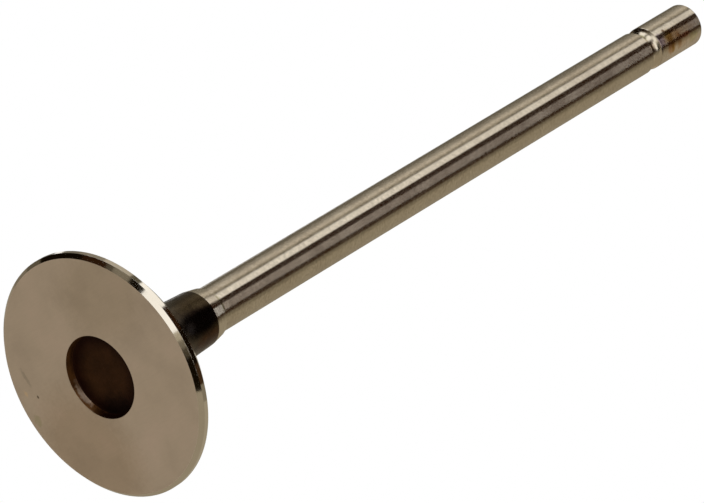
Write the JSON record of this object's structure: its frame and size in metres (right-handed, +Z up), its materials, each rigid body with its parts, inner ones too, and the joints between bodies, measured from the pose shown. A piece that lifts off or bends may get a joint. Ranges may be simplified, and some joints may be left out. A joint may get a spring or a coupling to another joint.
{
  "type": "engine valve",
  "caption": "Poppet valve: flat dimpled disc head with a conical seat, tulip back and forged neck on a long ground stem with a round keeper groove below the tip.",
  "frame": {"origin": "centre of the head's flat face", "axes": "+Z up the stem towards the tip, so the valve stands on its head; +X and +Y are alike"},
  "size_m": [0.0414, 0.0414, 0.1625],
  "materials": {
    "steel": "fine-ground face, seat and stem, with a dark as-forged neck"
  },
  "bodies": {
    "root": {"valve": "steel"}
  },
  "joints": []
}
